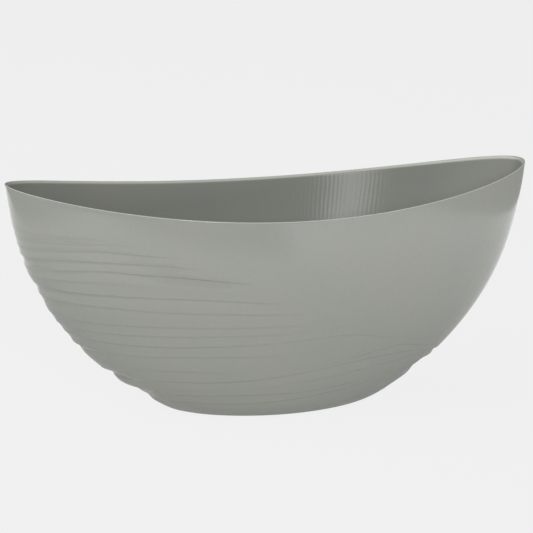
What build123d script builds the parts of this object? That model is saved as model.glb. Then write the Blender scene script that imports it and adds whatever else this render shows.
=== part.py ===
from build123d import *

import os

# One-piece oval serving bowl in moulded plastic: a boat-shaped shell whose rim dips between two
# raised ends. Millimetres. The origin is at the centre of the foot, on the surface that the bowl
# stands on. +X runs along the length, +Y across the width and +Z up, and the bowl is the same on
# both sides of the XZ and YZ planes.

# Overall size
LENGTH = 390.0  # tip to tip, along the rim
WIDTH = 170.0  # across the rim at mid length
END_HEIGHT = 173.0  # rim height at the two tips
MID_HEIGHT = 152.5  # rim height at mid length, the lowest point of the rim

# Foot, where the wall meets the table
FOOT_LENGTH = 146.0
FOOT_WIDTH = 72.0
RECESS_INSET = 7.0  # width of the ring that the bowl stands on
RECESS_DEPTH = 1.2  # how far the underside inside that ring is lifted
GATE_DIAMETER = 6.0  # witness disc left by the injection gate, in the middle of the underside
GATE_HEIGHT = 0.4

# Shell
WALL = 2.4
FLOOR = 3.6  # from the table to the inside of the bowl's floor
RIM_OUTER_FILLET = 0.4
RIM_INNER_SETBACK = 1.0  # the inner edge of the rim is bevelled this far across the rim's top
RIM_INNER_DROP = 2.2  # and this far down the inside wall

# Plan outline: four cubic curves with handles this share of the half size, so that the ends are
# a little slimmer than an ellipse's, whose share is 0.552
FULLNESS = 0.502

# Wall profile, from the foot to the tips' height: how strongly it bows out, how round it is at
# the foot, and what share of the way out is a straight lean
LENGTH_BOW, LENGTH_ROUND, LENGTH_LEAN = 2.52, 1.18, 0.156
WIDTH_BOW, WIDTH_ROUND, WIDTH_LEAN = 2.62, 1.85, 0.0

# Share of the height at each section of the loft, closer together where the wall turns fastest
SECTION_SHARES = (0.0, 0.006, 0.02, 0.05, 0.1, 0.18, 0.3, 0.45, 0.62, 0.8, 0.93, 1.0)
TRIM_MARGIN = 12.0  # how far the untrimmed wall runs on above the tips


def spread(share, bow, roundness, lean):
    """How far out the wall is at a share of the height: 0 at the foot and 1 at the tips' height."""
    curve = (1 - (1 - share) ** bow) ** (1 / roundness)
    return (1 - lean) * curve + lean * share


def half_sizes(share, inset=0.0):
    """Half length and half width of the wall at a share of the tips' height, less an inset."""
    foot_x, foot_y = FOOT_LENGTH / 2, FOOT_WIDTH / 2
    # The width is given at the rim's lowest point, so the way out to the tips' height is longer
    at_mid_rim = spread(MID_HEIGHT / END_HEIGHT, WIDTH_BOW, WIDTH_ROUND, WIDTH_LEAN)
    way_x = LENGTH / 2 - foot_x
    way_y = (WIDTH / 2 - foot_y) / at_mid_rim
    half_x = foot_x + way_x * spread(share, LENGTH_BOW, LENGTH_ROUND, LENGTH_LEAN)
    half_y = foot_y + way_y * spread(share, WIDTH_BOW, WIDTH_ROUND, WIDTH_LEAN)
    return half_x - inset, half_y - inset


def oval(height, half_x, half_y):
    """The plan outline of a section, as a flat face at a height."""
    with BuildSketch(Plane.XY.offset(height)) as section:
        with BuildLine():
            Bezier(
                (half_x, 0),
                (half_x, FULLNESS * half_y),
                (FULLNESS * half_x, half_y),
                (0, half_y),
            )
            mirror(about=Plane.YZ)
            mirror(about=Plane.XZ)
        make_face()
    return section.sketch


def wall_sections(floor, inset):
    """Sections of the wall's shape, from a floor height up past the tips."""
    rise = END_HEIGHT - floor
    sections = [oval(floor + share * rise, *half_sizes(share, inset)) for share in SECTION_SHARES]
    sections.append(oval(END_HEIGHT + TRIM_MARGIN, *half_sizes(1.0, inset)))
    return sections


with BuildPart() as bowl:
    loft(sections=wall_sections(0.0, 0.0))
    loft(sections=wall_sections(FLOOR, WALL), mode=Mode.SUBTRACT)

    # The rim follows one large arc, lowest at mid length
    with BuildSketch(Plane.XZ):
        with BuildLine():
            rim_arc = ThreePointArc(
                (-LENGTH / 2, END_HEIGHT), (0, MID_HEIGHT), (LENGTH / 2, END_HEIGHT)
            )
            Polyline(
                rim_arc @ 1,
                (LENGTH, END_HEIGHT),
                (LENGTH, END_HEIGHT + 2 * TRIM_MARGIN),
                (-LENGTH, END_HEIGHT + 2 * TRIM_MARGIN),
                (-LENGTH, END_HEIGHT),
                rim_arc @ 0,
            )
        make_face()
    extrude(amount=WIDTH, both=True, mode=Mode.SUBTRACT)

    # The rim's inner edge is bevelled, and then its outer edge is rounded
    rim_top = bowl.faces().filter_by(GeomType.CYLINDER).sort_by(SortBy.AREA)[-1]
    chamfer(
        rim_top.inner_wires().edges(), RIM_INNER_SETBACK, RIM_INNER_DROP, reference=rim_top
    )
    rim_top = bowl.faces().filter_by(GeomType.CYLINDER).sort_by(SortBy.AREA)[-1]
    fillet(rim_top.outer_wire().edges(), RIM_OUTER_FILLET)

    # Underside: a shallow recess leaves a ring to stand on, with the gate's disc in its middle
    extrude(
        oval(0.0, FOOT_LENGTH / 2 - RECESS_INSET, FOOT_WIDTH / 2 - RECESS_INSET),
        amount=RECESS_DEPTH,
        mode=Mode.SUBTRACT,
    )
    with BuildSketch(Plane.XY.offset(RECESS_DEPTH)):
        Circle(GATE_DIAMETER / 2)
    extrude(amount=-GATE_HEIGHT)

bowl.part.label = "bowl"

os.makedirs("parts", exist_ok=True)
export_step(bowl.part, "parts/bowl.step")
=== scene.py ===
import math

import bpy
import numpy as np
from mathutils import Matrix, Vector


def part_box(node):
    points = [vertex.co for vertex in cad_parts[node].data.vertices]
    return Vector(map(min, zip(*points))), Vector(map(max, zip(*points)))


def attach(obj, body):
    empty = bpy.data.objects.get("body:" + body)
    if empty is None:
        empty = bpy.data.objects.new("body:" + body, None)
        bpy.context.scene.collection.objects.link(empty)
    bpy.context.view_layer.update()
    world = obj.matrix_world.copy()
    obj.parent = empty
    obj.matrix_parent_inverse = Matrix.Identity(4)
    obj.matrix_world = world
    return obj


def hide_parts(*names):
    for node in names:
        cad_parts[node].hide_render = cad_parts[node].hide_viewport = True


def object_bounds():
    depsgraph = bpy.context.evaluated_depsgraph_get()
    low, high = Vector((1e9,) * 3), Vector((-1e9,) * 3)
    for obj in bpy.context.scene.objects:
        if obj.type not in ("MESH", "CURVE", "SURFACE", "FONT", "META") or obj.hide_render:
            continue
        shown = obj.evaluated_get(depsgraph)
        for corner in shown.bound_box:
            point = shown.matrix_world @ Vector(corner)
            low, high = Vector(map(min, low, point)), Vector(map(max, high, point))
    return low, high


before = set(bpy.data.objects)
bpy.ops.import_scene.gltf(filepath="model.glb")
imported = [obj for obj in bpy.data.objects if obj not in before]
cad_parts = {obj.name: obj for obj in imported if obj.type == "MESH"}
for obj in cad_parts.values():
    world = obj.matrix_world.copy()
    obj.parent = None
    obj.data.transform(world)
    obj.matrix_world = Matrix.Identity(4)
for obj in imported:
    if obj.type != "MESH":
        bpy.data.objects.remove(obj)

CAD_LOW, CAD_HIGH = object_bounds()
BOWL_LOW, BOWL_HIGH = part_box("bowl")

# The mesh is worked out in millimetres, with z = 0 under the foot, and scaled by MM at the end.
# The bowl's long axis is X, and the rim is lowest at x = 0.
MM = 0.001

# ---------------------------------------------------------------- the bowl's form, as in the CAD
HALF_LENGTH = (BOWL_HIGH.x - BOWL_LOW.x) / 2 / MM
HALF_WIDTH = (BOWL_HIGH.y - BOWL_LOW.y) / 2 / MM
END_HEIGHT = BOWL_HIGH.z / MM  # the rim's height at the two ends
RIM_DIP = 20.5                 # how much lower the rim is at mid length
FOOT_HALF_LENGTH = 73.0
FOOT_HALF_WIDTH = 36.0
WALL = 2.4
FLOOR = 3.6
RECESS_INSET = 7.0             # width of the ring that the bowl stands on
RECESS_DEPTH = 1.2
RECESS_EDGE = 0.15             # chamfer round the recess
GATE_RADIUS = 3.0              # the moulding gate's mark, which stands in the recess
GATE_HEIGHT = 0.4
GATE_EDGE = 0.1
RIM_FILLET = 0.4
BEVEL_SETBACK = 1.0
BEVEL_DROP = 2.2
BEVEL_SOFTNESS = 0.25          # rounding of the bevel's two edges
# The bevel's points from the flat top down: (share of the setback, share of the softness), which
# add up to the distance from the inner face, then (share of the drop, share of the softness),
# which add up to the depth under the rim. The last two have the inside's finish.
BEVEL_POINTS = (
    ((1, 1), (0, 0)),
    ((1, 0.25), (0, 0.06)),
    ((0.9, 0), (0.1, 0.1)),
    ((0.5, 0), (0.5, 0)),
    ((0.1, 0), (0.9, 0)),
    ((0.015, 0), (1, 0.3)),
)
BEVEL_POINTS_INSIDE = 2

FULLNESS = 0.502               # pull of the oval's curve handles: 0.55 is an ellipse
LENGTH_SPREAD = (2.52, 1.18, 0.156)   # bow, rounding and lean, as in spread()
WIDTH_SPREAD = (2.62, 1.85, 0.0)

MID_HEIGHT = END_HEIGHT - RIM_DIP
RIM_RADIUS = (HALF_LENGTH**2 + RIM_DIP**2) / (2 * RIM_DIP)

# ---------------------------------------------------------------- the moulded relief
# Long thin folds overlap round the outside like boards, most of them on the -X half. Each entry
# below is the lower edge of one fold, from the top down: (place along the length from -1 at one
# tip to 1 at the other, height, depth of the step under it), heights and depths in millimetres.
# The back has the same.
FOLDS = (
    ((-1, 144, 0.2), (-0.85, 142, 0.25), (-0.7, 141.5, 0), (0, 146, 0), (1, 158, 0)),
    ((-1, 138.5, 0.3), (-0.9, 138, 0.4), (-0.75, 138.6, 0.25), (-0.6, 138, 0), (0, 140, 0),
     (1, 148, 0)),
    ((-1, 131.5, 0.35), (-0.9, 132.5, 0.45), (-0.75, 133.6, 0.4), (-0.6, 131.3, 0.35), (-0.45, 129, 0),
     (0, 133, 0), (1, 139, 0)),
    ((-1, 124.3, 0.5), (-0.9, 125.5, 0.5), (-0.7, 125.2, 0.4), (-0.5, 123.3, 0.5), (-0.4, 121, 0),
     (0, 126, 0), (1, 130, 0)),
    ((-1, 116, 0.3), (-0.9, 117.5, 0.5), (-0.75, 119.2, 0.45), (-0.6, 117, 0.6), (-0.5, 115.8, 0.85),
     (-0.33, 112.4, 0.75), (-0.2, 109.8, 0), (0, 113, 0), (1, 120, 0)),
    ((-1, 110, 0.25), (-0.9, 110.5, 0.4), (-0.75, 110.5, 0.15), (-0.6, 109, 0), (0, 104, 0),
     (1, 111, 0)),
    ((-1, 103, 0.4), (-0.9, 102, 0.7), (-0.6, 100.4, 0.5), (-0.4, 99, 0.5), (-0.2, 96, 0.4),
     (-0.05, 94, 0), (0.3, 96, 0), (1, 102, 0)),
    ((-1, 93.5, 0.4), (-0.85, 92.8, 0.5), (-0.6, 90, 0.4), (-0.3, 88, 0.45), (-0.1, 86.4, 0.3),
     (0.05, 86, 0), (0.4, 87, 0), (1, 93, 0)),
    ((-1, 80.5, 0.3), (-0.85, 79.2, 0.45), (-0.5, 78.2, 0.4), (-0.1, 77.3, 0.25), (0.05, 77.5, 0),
     (0.4, 79, 0), (1, 84, 0)),
    ((-1, 72.8, 0.5), (-0.8, 71.6, 0.5), (-0.4, 71.5, 0.4), (-0.1, 71.6, 0.3), (0.1, 72, 0),
     (0.4, 72, 0), (1, 75, 0)),
    ((-1, 66, 0.45), (-0.8, 63.5, 0.5), (-0.4, 63.4, 0.4), (0, 65.8, 0.3), (0.2, 66.8, 0.4),
     (0.3, 65.3, 0.45), (0.4, 61.3, 0.3), (0.5, 58.5, 0), (0.7, 60, 0), (1, 65, 0)),
    ((-1, 57, 0.6), (-0.9, 55.3, 0.5), (-0.5, 55.2, 0.4), (-0.2, 54.8, 0.25), (0, 54, 0),
     (0.3, 55.5, 0), (0.5, 55.5, 0), (0.7, 54.5, 0), (1, 54, 0)),
    ((-1, 36.8, 0.4), (-0.9, 41.5, 0.6), (-0.7, 43.2, 0.4), (-0.5, 42.9, 0.25), (-0.3, 43, 0),
     (0, 43.5, 0), (0.15, 45, 0.1), (0.3, 48.5, 0.35), (0.45, 51.8, 0.6), (0.55, 52.3, 0.6),
     (0.65, 49.6, 0.5), (0.8, 45, 0.2), (0.9, 43, 0), (1, 43, 0)),
    ((-1, 31.5, 0), (-0.95, 32.5, 0), (-0.9, 33.5, 0.5), (-0.7, 34, 0.55), (-0.5, 34.3, 0.5),
     (-0.2, 36.8, 0.45), (0, 39.8, 0.4), (0.2, 43.2, 0.5), (0.45, 45.8, 0.85), (0.6, 45.6, 0.95),
     (0.75, 43, 0.95), (0.85, 40.5, 0.5), (0.94, 37.2, 0.3), (1, 36, 0.2)),
    ((-1, 28, 0), (-0.5, 27.8, 0.15), (-0.2, 29.3, 0.1), (0, 32.3, 0.15), (0.2, 34.3, 0.35),
     (0.4, 37.5, 0.75), (0.6, 39.6, 0.95), (0.78, 38.3, 0.9), (0.9, 34, 0.3), (1, 31.5, 0.3)),
    ((-1, 24.5, 0.4), (-0.9, 23.2, 0.7), (-0.8, 22.2, 0.6), (-0.4, 23.1, 0.5), (0, 23.6, 0.35),
     (0.2, 24.8, 0.3), (0.4, 27.3, 0.85), (0.55, 29.4, 0.95), (0.75, 30, 1.0), (0.92, 29.5, 0.3),
     (1, 28.5, 0.2)),
    ((-1, 16.5, 0.2), (-0.85, 15.4, 0.9), (-0.5, 15.6, 1.0), (0, 18.1, 0.8), (0.3, 21.7, 0.8),
     (0.55, 25, 1.0), (0.7, 25.9, 1.1), (0.85, 25.2, 0.6), (0.92, 24.3, 0.3), (1, 23.5, 0.2)),
    ((-1, 8.5, 0), (-0.3, 6.5, 0), (0, 5.8, 0.1), (0.2, 6, 0.35), (0.4, 9.2, 0.6), (0.6, 12.3, 0.8),
     (0.8, 14.4, 0.8), (0.9, 15, 0.3), (1, 14.5, 0.2)),
)
STEP_HEIGHT = (1.5, 4.2)       # height of the step under a fold's edge: along the sides, at the ends
RETURN_HEIGHT = (6.5, 7.5)     # height over which the wall comes out again below it
RETURN_BEND = 1.4              # how much quicker it does so at first
FLARE_HEIGHT = (2.6, 3.0)      # height over which a fold flares out above its edge
FLARE = 0.35                   # how far it flares, by the depth of the step
END_START = 0.6                # place along the length from which the ends' heights set in
FOOT_FADE = 3.0                # height over which the relief fades to nothing at the foot
# The wall also bulges and dips at the two tips, from the top down: (height, how far it is proud).
LEFT_TIP = ((123, 0), (119, -0.7), (114, 0.2), (106, 0), (102, -0.8), (98, -1.6), (94.5, -0.9),
            (87, -0.75), (83, -0.1), (60, -0.1), (57, 0.3), (53, -0.3), (48, 0.5), (37, 0.3),
            (34.5, -0.5), (30.5, -2.1), (28.5, -0.3), (26, 0.4), (24, 0), (21, -1.4), (18, -1.8),
            (12, -1.6), (9, 0.2), (5, 0.6))
RIGHT_TIP = ((38, 0), (35, -1.1), (32, 0), (30, -1.2), (27, -1.5), (25.5, -1.4), (23, -2.2),
             (20, -1.0), (18, -0.2), (15.5, -0.4), (13, -0.9), (10.5, -0.2), (8, 0))
LEFT_TIP_FROM = (0.88, 0.97)   # places along the length between which these set in
RIGHT_TIP_FROM = (0.8, 0.9)

# ---------------------------------------------------------------- how finely the mesh is cut
COLUMNS = 368
# Where a stretch of the outer wall is cut, as shares of its height: between two folds, with more
# cuts just under each fold's edge, below the lowest fold, and above the topmost one.
FOLD_CUTS = (0.0, 0.07, 0.16, 0.28, 0.42, 0.56, 0.69, 0.79, 0.86, 0.915, 0.96)
FOOT_CUTS = (0.01, 0.04, 0.09, 0.16, 0.26, 0.38, 0.52, 0.66, 0.8, 0.91)
TOP_CUTS = (0.0, 0.1, 0.22, 0.4, 0.6, 0.8)
INNER_WALL_ROWS = 30
INNER_FLOOR_ROWS = 6
UNDERSIDE_ROWS = 6
FILLET_STEPS = 4
RIM_ROUNDS = 12                # rounds of closing in on the height where a wall meets the rim
SLOPE_STEP = 0.05              # half the height over which the wall's slope is measured
SHARP_ANGLE = math.radians(50)

# ---------------------------------------------------------------- the plastic
WARM_SAGE = (0.350, 0.357, 0.320, 1)
GREEN_SAGE = (0.340, 0.356, 0.322, 1)
PLASTIC_IOR = 1.5
# The rim's colour is made lighter than the wall's: a painted highlight along the rim's edge.
RIM_PAINTED_HIGHLIGHT = 1.0              # how much lighter the thin rim looks
# Noise scales are in repeats per metre; bump heights and pitches are in metres.
NOISE_SPAN = (0.3, 0.7)        # the part of a noise's range that is used
CLOUD_SPAN = (0.35, 0.65)
CLOUD_NOISE = (14.0, 3.0)      # scale and detail
PIGMENT_SCALE = 420.0
PIGMENT_RANGE = (0.985, 1.015)
GLOSS_NOISE = (55.0, 4.0, 0.6)   # scale, detail and roughness
OUTSIDE_ROUGHNESS = (0.12, 0.17)
INSIDE_ROUGHNESS = (0.31, 0.35)
INSIDE_DRAW = 1.0              # how strongly its highlights are drawn out, and which way: upwards
INSIDE_DRAW_TURN = 0.25
SLOW_PEEL = (90.0, 0.000012)   # scale and height of the two sizes of orange peel
FINE_PEEL = (700.0, 0.000002)
WANDER_SCALE = 40.0
LEVEL_MARKS = (0.0022, 2.5, 0.000004)     # turned rings inside: pitch, wander in radians, height
UPRIGHT_MARKS = (0.0034, 3.0, 0.000009)   # the same, of the upright cutter marks

# ---------------------------------------------------------------- camera and studio
VIEW_AZIMUTH = math.radians(-16.4)   # from -Y towards -X
VIEW_ELEVATION = math.radians(13.5)
VIEW_DISTANCE = 1.482
AIM_SHARE = 0.5205                   # height of the aim, as a share of the bowl's height
SENSOR = 36.0
LENS = 136.35
FRAME_SHIFT = (-0.0120, 0.0289)
CLIP = (0.05, 100.0)
BACKDROP = 0.871                     # brightness of the surround as the camera sees it
AMBIENT = 0.12                       # brightness of the surround as the bowl sees it
SEEN_FLOOR = (0.05, 0.845)           # whiteness and own light of the floor that the camera sees
# The table's glow is lower near its middle, round the bowl, than far out: a painted shadow of the bowl on
# the table.
TABLE = (0.6, 0.22, 1.15)            # the same, of the white table that the bowl mirrors: near, far
TABLE_MIDDLE = (-0.05, 0.0, 0.0)
TABLE_NEAR_FAR = (0.2, 0.6)          # distances from its middle between which the table's glow changes
TABLE_PARTS = (((-0.55, 0.59), (-0.5, 0.9)), ((0.1, 0.59), (-0.95, -0.5)))   # x and y spans
ROOM_FLOOR = (0.1, 0.35)
UNDER_FOOT = 0.0002                  # how far the floor lies under the foot
TABLE_DROP = 0.001                   # how far the table lies under the floor
ROOM_DROP = 0.01                     # how far the room's own floor lies under it
FLOOR_DISC = (12.0, 128)             # radius and number of corners
ROOM_DISC = (8.0, 64)
SURROUND_BALL = (15.0, 64, 32)       # radius, and its segments round and upwards

# The soft lights: name, azimuth and elevation in degrees, distance, size and surface brightness.
LIGHTS = (
    ("left_light", -90.0, 38.0, 2.0, (4.0, 1.4), 1.45),
    ("front_light", 35.0, 3.0, 2.0, (1.4, 0.3), 3.0),
    ("top_light", 0.0, 80.0, 1.6, (1.4, 1.0), 0.3),
    ("key_light", -8.0, 20.0, 3.0, (0.42, 0.9), 25.0),
)


def spread(share, bow, rounding, lean):
    """How far the wall has gone from foot to full size at a share of the height."""
    share = np.clip(share, 0.0, 1.0)
    curved = (1 - (1 - share) ** bow) ** (1 / rounding)
    return (1 - lean) * curved + lean * share


def outer_half_length(z):
    """Half the bowl's length at height z."""
    return FOOT_HALF_LENGTH + (HALF_LENGTH - FOOT_HALF_LENGTH) * spread(z / END_HEIGHT, *LENGTH_SPREAD)


def outer_half_width(z):
    """Half the bowl's width at height z; it is full where the rim is lowest."""
    full = spread(MID_HEIGHT / END_HEIGHT, *WIDTH_SPREAD)
    return FOOT_HALF_WIDTH + (HALF_WIDTH - FOOT_HALF_WIDTH) * spread(z / END_HEIGHT, *WIDTH_SPREAD) / full


def inner_height(z):
    """The height of the outer section that the inside repeats, a wall smaller, at height z."""
    return (z - FLOOR) / (END_HEIGHT - FLOOR) * END_HEIGHT


def inner_half_length(z):
    """Half the hollow's length at height z."""
    return outer_half_length(inner_height(z)) - WALL


def inner_half_width(z):
    """Half the hollow's width at height z."""
    return outer_half_width(inner_height(z)) - WALL


def unit_oval():
    """x and y round an oval of half length and half width 1, anticlockwise from the +X tip."""
    turn = 4 * np.arange(COLUMNS) / COLUMNS
    quarter = turn.astype(int)
    t = turn - quarter
    t = np.where(quarter % 2 == 1, 1 - t, t)
    s = 1 - t
    x = s**3 + 3 * s**2 * t + 3 * s * t**2 * FULLNESS
    y = 3 * s**2 * t * FULLNESS + 3 * s * t**2 + t**3
    return x * np.where((quarter == 0) | (quarter == 3), 1, -1), y * np.where(quarter < 2, 1, -1)


OVAL_X, OVAL_Y = unit_oval()


def rim_height(x):
    """The rim's height over a place along the length."""
    return MID_HEIGHT + RIM_RADIUS - np.sqrt(RIM_RADIUS**2 - x**2)


def rim_at(half_length):
    """Where each column of a wall meets the rim, as a height."""
    z = np.full(COLUMNS, MID_HEIGHT)
    for _ in range(RIM_ROUNDS):
        z = rim_height(half_length(z) * OVAL_X)
    return z


def ring(half_length, half_width, z):
    """One ring of points with the given half sizes and heights."""
    z = np.broadcast_to(z, OVAL_X.shape)
    return np.stack([half_length * OVAL_X, half_width * OVAL_Y, z], -1)


def smooth_line(knots, values, at):
    """A smooth curve through the given values, with its slopes from their neighbours."""
    knots = np.array(knots, float)
    values = np.array(values, float)
    slopes = np.gradient(values, knots)
    i = np.clip(np.searchsorted(knots, at) - 1, 0, len(knots) - 2)
    step = knots[i + 1] - knots[i]
    t = np.clip((at - knots[i]) / step, 0, 1)
    rise = values[i + 1] - values[i]
    left = slopes[i] * step
    right = slopes[i + 1] * step
    return values[i] + t * (left + t * (3 * rise - 2 * left - right + t * (left + right - 2 * rise)))


def smooth_step(share):
    """A soft passage from 0 to 1."""
    share = np.clip(share, 0, 1)
    return share * share * (3 - 2 * share)


def fold_curves():
    """Each fold's edge height and step depth over every column, from the top fold down."""
    heights, depths = [], []
    for fold in FOLDS:
        places, z, depth = zip(*fold)
        heights.append(smooth_line(places, z, OVAL_X))
        depths.append(np.interp(OVAL_X, places, depth))
    return np.array(heights), np.array(depths)


def towards_ends(values):
    """A size that goes from its value along the sides to its value at the ends, per column."""
    share = np.clip((np.abs(OVAL_X) - END_START) / (1 - END_START), 0, 1) ** 2
    return values[0] + (values[1] - values[0]) * share


def relief(z, heights, depths):
    """How far the outside stands proud of the plain wall, negative under the folds' edges."""
    step = towards_ends(STEP_HEIGHT)
    back = towards_ends(RETURN_HEIGHT)
    flare = towards_ends(FLARE_HEIGHT)
    dip = np.zeros_like(z)
    proud = np.zeros_like(z)
    for height, depth in zip(heights, depths):
        under = height - z
        stepped = np.sin(np.pi / 2 * np.clip(under / step, 0, 1))
        returned = np.clip(1 - (under - step) / back, 0, 1) ** RETURN_BEND
        below = stepped * np.where(under > step, returned, 1)
        dip = np.maximum(dip, (1 + FLARE) * depth * below)
        rising = np.clip(1 + under / flare, 0, 1) ** 2
        falling = np.clip(1 - under / (step + back), 0, 1)
        proud = np.maximum(proud, FLARE * depth * np.where(under > 0, falling, rising))
    stands = proud - dip
    for side, profile, (start, end) in ((-1, LEFT_TIP, LEFT_TIP_FROM), (1, RIGHT_TIP, RIGHT_TIP_FROM)):
        level, out = zip(*profile[::-1])
        share = smooth_step((side * OVAL_X - start) / (end - start))
        stands = stands + np.interp(z, level, out) * share
    return stands * smooth_step(z / FOOT_FADE)


def outer_wall_heights(heights, rim):
    """Heights of the outer wall's rows over every column, gathered along the folds."""
    levels = [np.zeros(COLUMNS), *heights[::-1], rim]
    rows = []
    for i, (low, high) in enumerate(zip(levels, levels[1:])):
        cuts = FOOT_CUTS if i == 0 else TOP_CUTS if i == len(levels) - 2 else FOLD_CUTS
        rows += [low + (high - low) * cut for cut in cuts]
    return np.array(rows)


def outer_wall():
    """The outer wall's rings, from just over the foot to just under the rim."""
    heights, depths = fold_curves()
    z = outer_wall_heights(heights, rim_at(outer_half_length) - RIM_FILLET)
    long = outer_half_length(z)
    wide = outer_half_width(z)
    above = z + SLOPE_STEP
    below = z - SLOPE_STEP
    long_slope = (outer_half_length(above) - outer_half_length(below)) / (2 * SLOPE_STEP)
    wide_slope = (outer_half_width(above) - outer_half_width(below)) / (2 * SLOPE_STEP)
    turn_x = (np.roll(OVAL_X, -1) - np.roll(OVAL_X, 1)) / 2
    turn_y = (np.roll(OVAL_Y, -1) - np.roll(OVAL_Y, 1)) / 2
    along = np.stack([long * turn_x, wide * turn_y, np.zeros_like(z)], -1)
    up = np.stack([long_slope * OVAL_X, wide_slope * OVAL_Y, np.ones_like(z)], -1)
    out = np.cross(along, up)
    out /= np.linalg.norm(out, axis=-1, keepdims=True)
    wall = np.stack([long * OVAL_X, wide * OVAL_Y, z], -1)
    return list(wall + out * relief(z, heights, depths)[..., None])


def across_wall(share, down, inner_rim, outer_rim):
    """A ring between the inner face (share 0) and the outer face (1), that far under the rim."""
    inner_z = inner_rim - down
    outer_z = outer_rim - down
    inner = ring(inner_half_length(inner_z), inner_half_width(inner_z), inner_z)
    outer = ring(outer_half_length(outer_z), outer_half_width(outer_z), outer_z)
    return inner + (outer - inner) * share


def rim_section():
    """The rim's rings from the outer face to the inner: fillet, flat top, softened bevel."""
    section = []
    for i in range(FILLET_STEPS + 1):
        turn = math.pi / 2 * i / FILLET_STEPS
        in_from_face = RIM_FILLET * (1 - math.cos(turn))
        section.append((1 - in_from_face / WALL, RIM_FILLET * (1 - math.sin(turn))))
    flat_middle = (WALL - RIM_FILLET + BEVEL_SETBACK) / 2
    section.append((flat_middle / WALL, 0.0))
    for (setback, softened_in), (drop, softened_down) in BEVEL_POINTS:
        from_inside = setback * BEVEL_SETBACK + softened_in * BEVEL_SOFTNESS
        down = drop * BEVEL_DROP + softened_down * BEVEL_SOFTNESS
        section.append((from_inside / WALL, down))
    return section


def rim_rings():
    """The rings over the rim."""
    inner_rim = rim_at(inner_half_length)
    outer_rim = rim_at(outer_half_length)
    return [across_wall(share, down, inner_rim, outer_rim) for share, down in rim_section()]


def inner_rings():
    """The rings down the inner wall, closer towards its foot, then over the floor to near its middle."""
    top = rim_at(inner_half_length) - BEVEL_DROP - 2 * BEVEL_SOFTNESS
    rings = []
    for i in range(INNER_WALL_ROWS + 1):
        share = (1 - i / INNER_WALL_ROWS) ** 2
        z = FLOOR + (top - FLOOR) * share
        rings.append(ring(inner_half_length(z), inner_half_width(z), z))
    edge = rings[-1]
    for i in range(1, INNER_FLOOR_ROWS):
        inward = edge.copy()
        inward[:, :2] *= 1 - i / INNER_FLOOR_ROWS
        rings.append(inward)
    return rings


def underside_rings():
    """The rings from the gate mark under the middle out to the foot's edge."""
    angle = 2 * math.pi * np.arange(COLUMNS) / COLUMNS
    circle = np.stack([np.cos(angle), np.sin(angle)], -1)
    gate_low = RECESS_DEPTH - GATE_HEIGHT
    rings = []
    for radius, z in ((GATE_RADIUS / 2, gate_low), (GATE_RADIUS - GATE_EDGE, gate_low),
                      (GATE_RADIUS, gate_low + GATE_EDGE), (GATE_RADIUS, RECESS_DEPTH)):
        rings.append(np.column_stack([circle * radius, np.full(COLUMNS, z)]))
    start = rings[-1]
    long = FOOT_HALF_LENGTH - RECESS_INSET
    wide = FOOT_HALF_WIDTH - RECESS_INSET
    end = ring(long, wide, RECESS_DEPTH)
    rings += [start + (end - start) * i / UNDERSIDE_ROWS for i in range(1, UNDERSIDE_ROWS + 1)]
    rings.append(ring(long, wide, RECESS_EDGE))
    rings.append(ring(long + RECESS_EDGE, wide + RECESS_EDGE, 0.0))
    rings.append(ring((long + FOOT_HALF_LENGTH) / 2, (wide + FOOT_HALF_WIDTH) / 2, 0.0))
    rings.append(ring(FOOT_HALF_LENGTH, FOOT_HALF_WIDTH, 0.0))
    return rings


def rim_walk():
    """How far each column is along the rim from the +X tip, in metres, and the whole way round."""
    rim = ring(HALF_LENGTH, HALF_WIDTH, 0.0)
    steps = np.linalg.norm(np.roll(rim, -1, 0) - rim, axis=-1) * MM
    return np.concatenate([[0], np.cumsum(steps)])


def ring_faces(count):
    """The faces between neighbouring rings, then those round the lower and the upper pole."""
    column = np.arange(COLUMNS)
    following = (column + 1) % COLUMNS
    faces = []
    for i in range(count - 1):
        low = i * COLUMNS
        high = low + COLUMNS
        faces += np.stack([low + column, low + following, high + following, high + column], -1).tolist()
    last = (count - 1) * COLUMNS
    bottom_pole = count * COLUMNS
    top_pole = bottom_pole + 1
    faces += [(bottom_pole, int(b), int(a)) for a, b in zip(column, following)]
    faces += [(last + int(a), last + int(b), top_pole) for a, b in zip(column, following)]
    return faces


def corner_walks(count):
    """How far along the rim every corner of the faces is, in the order of ring_faces."""
    walk = rim_walk()
    four = np.stack([walk[:-1], walk[1:], walk[1:], walk[:-1]], -1).ravel()
    three = np.stack([walk[:-1], walk[1:], walk[:-1]], -1).ravel()
    return np.concatenate([np.tile(four, count - 1), three, three])


def lay_out(mesh, points, count):
    """A UV map of the way along the rim and the height, both in metres."""
    corner_points = np.empty(len(mesh.loops), np.int32)
    mesh.loops.foreach_get("vertex_index", corner_points)
    wrap = mesh.uv_layers.new(name="wrap")
    wrap.data.foreach_set("uv", np.stack([corner_walks(count), points[corner_points, 2]], -1).ravel())


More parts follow.
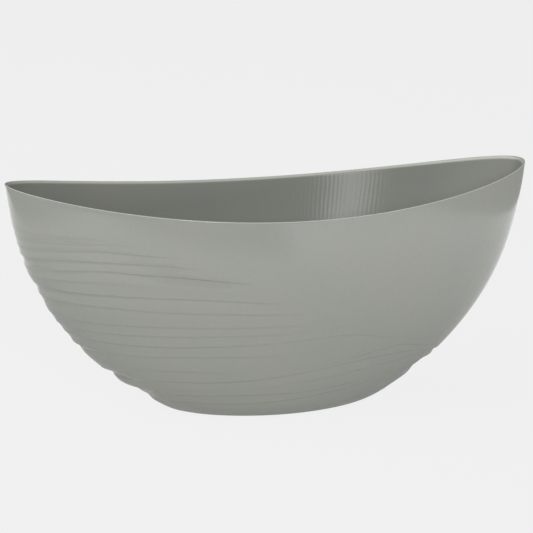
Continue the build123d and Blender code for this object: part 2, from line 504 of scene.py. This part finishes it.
def make_bowl():
    """The whole bowl as one closed mesh of rings, from under the foot round to the inner floor."""
    under = underside_rings()
    outside = outer_wall()
    over = rim_rings()
    rings = under + outside + over + inner_rings()
    rim_from = len(under) + len(outside)
    inner_from = rim_from + len(over) - BEVEL_POINTS_INSIDE
    gate_middle = (0.0, 0.0, RECESS_DEPTH - GATE_HEIGHT)
    floor_middle = (0.0, 0.0, FLOOR)
    points = np.vstack([*rings, gate_middle, floor_middle]) * MM

    mesh = bpy.data.meshes.new("bowl_shell")
    mesh.from_pydata(points.tolist(), [], ring_faces(len(rings)))
    mesh.validate()
    lay_out(mesh, points, len(rings))

    # The rim attribute marks the rings that carry the painted highlight.
    rim_highlight_mask = np.zeros(len(points), np.float32)
    rim_highlight_mask[(rim_from + 1) * COLUMNS:inner_from * COLUMNS] = 1.0
    mesh.attributes.new("rim", "FLOAT", "POINT").data.foreach_set("value", rim_highlight_mask)
    mesh.materials.append(outside_material())
    mesh.materials.append(inside_material())
    is_inside = np.zeros(len(mesh.polygons), np.int32)
    is_inside[inner_from * COLUMNS:-2 * COLUMNS] = 1
    is_inside[-COLUMNS:] = 1
    mesh.polygons.foreach_set("material_index", is_inside)
    mesh.shade_smooth()
    mesh.set_sharp_from_angle(angle=SHARP_ANGLE)
    bowl = bpy.data.objects.new("bowl_shell", mesh)
    bpy.context.scene.collection.objects.link(bowl)
    return bowl


class Nodes:
    """A small helper that adds and links the nodes of a material or a world."""

    def __init__(self, owner):
        owner.use_nodes = True
        self.tree = owner.node_tree
        self.tree.nodes.clear()

    def add(self, kind, inputs=None, **settings):
        """Adds a node with these settings and fills its inputs."""
        node = self.tree.nodes.new(kind)
        for name, value in settings.items():
            setattr(node, name, value)
        for name, value in (inputs or {}).items():
            self.put(node.inputs[name], value)
        return node

    def put(self, socket, value):
        """Links an output to a socket, or sets a plain value there."""
        if isinstance(value, bpy.types.NodeSocket):
            self.tree.links.new(value, socket)
        else:
            socket.default_value = value

    def math(self, operation, a, b=0.0, c=0.0):
        """The result of a sum."""
        return self.add("ShaderNodeMath", {0: a, 1: b, 2: c}, operation=operation).outputs[0]

    def noise(self, vector, scale, detail=2.0, roughness=0.5):
        """A smooth random value, mostly near 0.5."""
        inputs = {"Vector": vector, "Scale": scale, "Detail": detail, "Roughness": roughness}
        return self.add("ShaderNodeTexNoise", inputs).outputs["Fac"]

    def span(self, value, low, high, to_low, to_high):
        """A value brought from one range to another, and held inside it."""
        inputs = {"Value": value, "From Min": low, "From Max": high, "To Min": to_low, "To Max": to_high}
        return self.add("ShaderNodeMapRange", inputs).outputs["Result"]


def pigment(n, place):
    """The plastic's colour: slow warm and green clouds, a fine grain of pigment, and a painted highlight
    that makes the rim lighter.
    """
    clouds = n.span(n.noise(place, *CLOUD_NOISE), *CLOUD_SPAN, 0.0, 1.0)
    tint = n.add("ShaderNodeMix", {"Factor": clouds, "A": WARM_SAGE, "B": GREEN_SAGE}, data_type="RGBA")
    grain = n.span(n.noise(place, PIGMENT_SCALE), *NOISE_SPAN, *PIGMENT_RANGE)
    # The rim attribute lightens the colour there: a painted highlight along the rim, added to the pigment
    # grain.
    rim = n.add("ShaderNodeAttribute", attribute_name="rim").outputs["Fac"]
    grain_and_rim_highlight = n.math("MULTIPLY_ADD", rim, RIM_PAINTED_HIGHLIGHT, grain)
    scaled = {0: tint.outputs["Result"], "Scale": grain_and_rim_highlight}
    return n.add("ShaderNodeVectorMath", scaled, operation="SCALE").outputs[0]


def gloss(n, place, roughness):
    """A roughness that wanders within its range."""
    return n.span(n.noise(place, *GLOSS_NOISE), *NOISE_SPAN, *roughness)


def orange_peel(n, place):
    """The slight unevenness of a moulded gloss surface, as a height in metres."""
    slow_scale, slow_height = SLOW_PEEL
    fine_scale, fine_height = FINE_PEEL
    slow = n.math("MULTIPLY", n.noise(place, slow_scale), slow_height)
    return n.math("MULTIPLY_ADD", n.noise(place, fine_scale), fine_height, slow)


def marks(n, way, wander, under, pitch, sway, height):
    """Fine waves along a way, added to the height under them."""
    turn = n.math("MULTIPLY_ADD", way, 2 * math.pi / pitch, n.math("MULTIPLY", wander, sway))
    return n.math("MULTIPLY_ADD", n.math("SINE", turn), height, under)


def bump(n, height):
    """The shading normal of a height in metres."""
    return n.add("ShaderNodeBump", {"Height": height, "Distance": 1.0, "Strength": 1.0}).outputs[0]


def outside_material():
    """Glossy sage plastic, as it comes from a polished mould."""
    material = bpy.data.materials.new("sage_plastic_outside")
    n = Nodes(material)
    place = n.add("ShaderNodeTexCoord").outputs["Object"]
    shader = n.add("ShaderNodeBsdfPrincipled", {
        "Base Color": pigment(n, place),
        "Roughness": gloss(n, place, OUTSIDE_ROUGHNESS),
        "Normal": bump(n, orange_peel(n, place)),
        "IOR": PLASTIC_IOR,
    })
    n.add("ShaderNodeOutputMaterial", {"Surface": shader.outputs[0]})
    return material


def inside_material():
    """The same plastic with a turned finish: fine level rings, and faint upright cutter marks."""
    material = bpy.data.materials.new("sage_plastic_inside")
    n = Nodes(material)
    place = n.add("ShaderNodeTexCoord").outputs["Object"]
    wrap = n.add("ShaderNodeUVMap", uv_map="wrap").outputs["UV"]
    ways = n.add("ShaderNodeSeparateXYZ", {0: wrap}).outputs
    wander = n.noise(place, WANDER_SCALE)
    ringed = marks(n, ways["Y"], wander, orange_peel(n, place), *LEVEL_MARKS)
    marked = marks(n, ways["X"], wander, ringed, *UPRIGHT_MARKS)
    tangent = n.add("ShaderNodeTangent", direction_type="UV_MAP", uv_map="wrap")
    shader = n.add("ShaderNodeBsdfPrincipled", {
        "Base Color": pigment(n, place),
        "Roughness": gloss(n, place, INSIDE_ROUGHNESS),
        "Anisotropic": INSIDE_DRAW,
        "Anisotropic Rotation": INSIDE_DRAW_TURN,
        "Tangent": tangent.outputs[0],
        "Normal": bump(n, marked),
        "IOR": PLASTIC_IOR,
    })
    n.add("ShaderNodeOutputMaterial", {"Surface": shader.outputs[0]})
    return material


def stage_material(name, whiteness, near_glow, far_glow=None):
    """A matt grey that also gives some light of its own, the same all over or changing outwards; on the
    table, the lower glow near the bowl is a painted shadow of the bowl.
    """
    material = bpy.data.materials.new(name)
    n = Nodes(material)
    cloth = n.add("ShaderNodeBsdfDiffuse", {"Color": (whiteness, whiteness, whiteness, 1)})
    light = n.add("ShaderNodeEmission", {"Strength": near_glow})
    if far_glow:
        place = n.add("ShaderNodeNewGeometry").outputs["Position"]
        ends = {0: place, 1: TABLE_MIDDLE}
        reach = n.add("ShaderNodeVectorMath", ends, operation="DISTANCE").outputs["Value"]
        # Lower glow near the middle, round the bowl: a painted shadow of the bowl on the table.
        n.put(light.inputs["Strength"], n.span(reach, *TABLE_NEAR_FAR, near_glow, far_glow))
    both = n.add("ShaderNodeAddShader", {0: cloth.outputs[0], 1: light.outputs[0]})
    n.add("ShaderNodeOutputMaterial", {"Surface": both.outputs[0]})
    return material


def stage_piece(name, seen, whiteness, *glow):
    """Makes the newest object a piece of the stage, seen by the camera only or by the bowl only."""
    piece = bpy.context.object
    piece.name = name
    piece.data.materials.append(stage_material(name, whiteness, *glow))
    piece.visible_camera = seen
    piece.visible_diffuse = not seen
    piece.visible_glossy = not seen
    piece.visible_shadow = not seen


def add_disc(radius, corners, z):
    """A flat disc at a height, as the newest object."""
    bpy.ops.mesh.primitive_circle_add(vertices=corners, radius=radius, fill_type="NGON", location=(0, 0, z))


def make_stage():
    """A pale floor and surround to look at, and a white table in a dim room for the bowl to mirror."""
    floor = CAD_LOW.z - UNDER_FOOT
    add_disc(*FLOOR_DISC, floor)
    stage_piece("floor", True, *SEEN_FLOOR)
    radius, segments, upwards = SURROUND_BALL
    bpy.ops.mesh.primitive_uv_sphere_add(segments=segments, ring_count=upwards, radius=radius)
    stage_piece("surround", True, 0.0, BACKDROP)
    for (left, right), (front, back) in TABLE_PARTS:
        middle = ((left + right) / 2, (front + back) / 2, floor - TABLE_DROP)
        bpy.ops.mesh.primitive_plane_add(size=1.0, location=middle)
        bpy.context.object.scale = (right - left, back - front, 1)
        stage_piece("table", False, *TABLE)
    add_disc(*ROOM_DISC, floor - ROOM_DROP)
    stage_piece("room_floor", False, *ROOM_FLOOR)


def aim_at(thing, place, target):
    """Puts a light or camera at a place, looking at a target."""
    thing.location = place
    thing.rotation_euler = (target - place).to_track_quat("-Z", "Y").to_euler()


def direction(azimuth, elevation):
    """Unit vector at an azimuth from -Y towards +X and an elevation, both in radians."""
    return Vector((math.sin(azimuth) * math.cos(elevation), -math.cos(azimuth) * math.cos(elevation),
                   math.sin(elevation)))


def softbox(name, azimuth, elevation, distance, size, radiance, aim):
    """A rectangular soft light of a given surface brightness."""
    data = bpy.data.lights.new(name, "AREA")
    data.shape = "RECTANGLE"
    data.size, data.size_y = size
    data.energy = math.pi * radiance * size[0] * size[1]
    light = bpy.data.objects.new(name, data)
    light.visible_camera = False
    bpy.context.scene.collection.objects.link(light)
    aim_at(light, aim + direction(math.radians(azimuth), math.radians(elevation)) * distance, aim)


def make_studio(aim):
    """Dim light from all round, and the soft lights."""
    world = bpy.data.worlds.new("studio")
    bpy.context.scene.world = world
    n = Nodes(world)
    surround = n.add("ShaderNodeBackground", {"Strength": AMBIENT, "Color": (1, 1, 1, 1)})
    n.add("ShaderNodeOutputWorld", {"Surface": surround.outputs[0]})
    for name, *light in LIGHTS:
        softbox(name, *light, aim)


def make_camera(aim):
    """The camera: a long lens, looking a little down on the bowl."""
    data = bpy.data.cameras.new("camera")
    data.sensor_width = SENSOR
    data.lens = LENS
    data.shift_x, data.shift_y = FRAME_SHIFT
    data.clip_start, data.clip_end = CLIP
    camera = bpy.data.objects.new("camera", data)
    bpy.context.scene.collection.objects.link(camera)
    aim_at(camera, aim + direction(VIEW_AZIMUTH, VIEW_ELEVATION) * VIEW_DISTANCE, aim)
    bpy.context.scene.camera = camera


bowl = make_bowl()
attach(bowl, "root")
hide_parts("bowl")

AIM = Vector((0.0, 0.0, BOWL_HIGH.z * AIM_SHARE))
make_stage()
make_studio(AIM)
make_camera(AIM)
bpy.context.scene.view_settings.view_transform = "Standard"
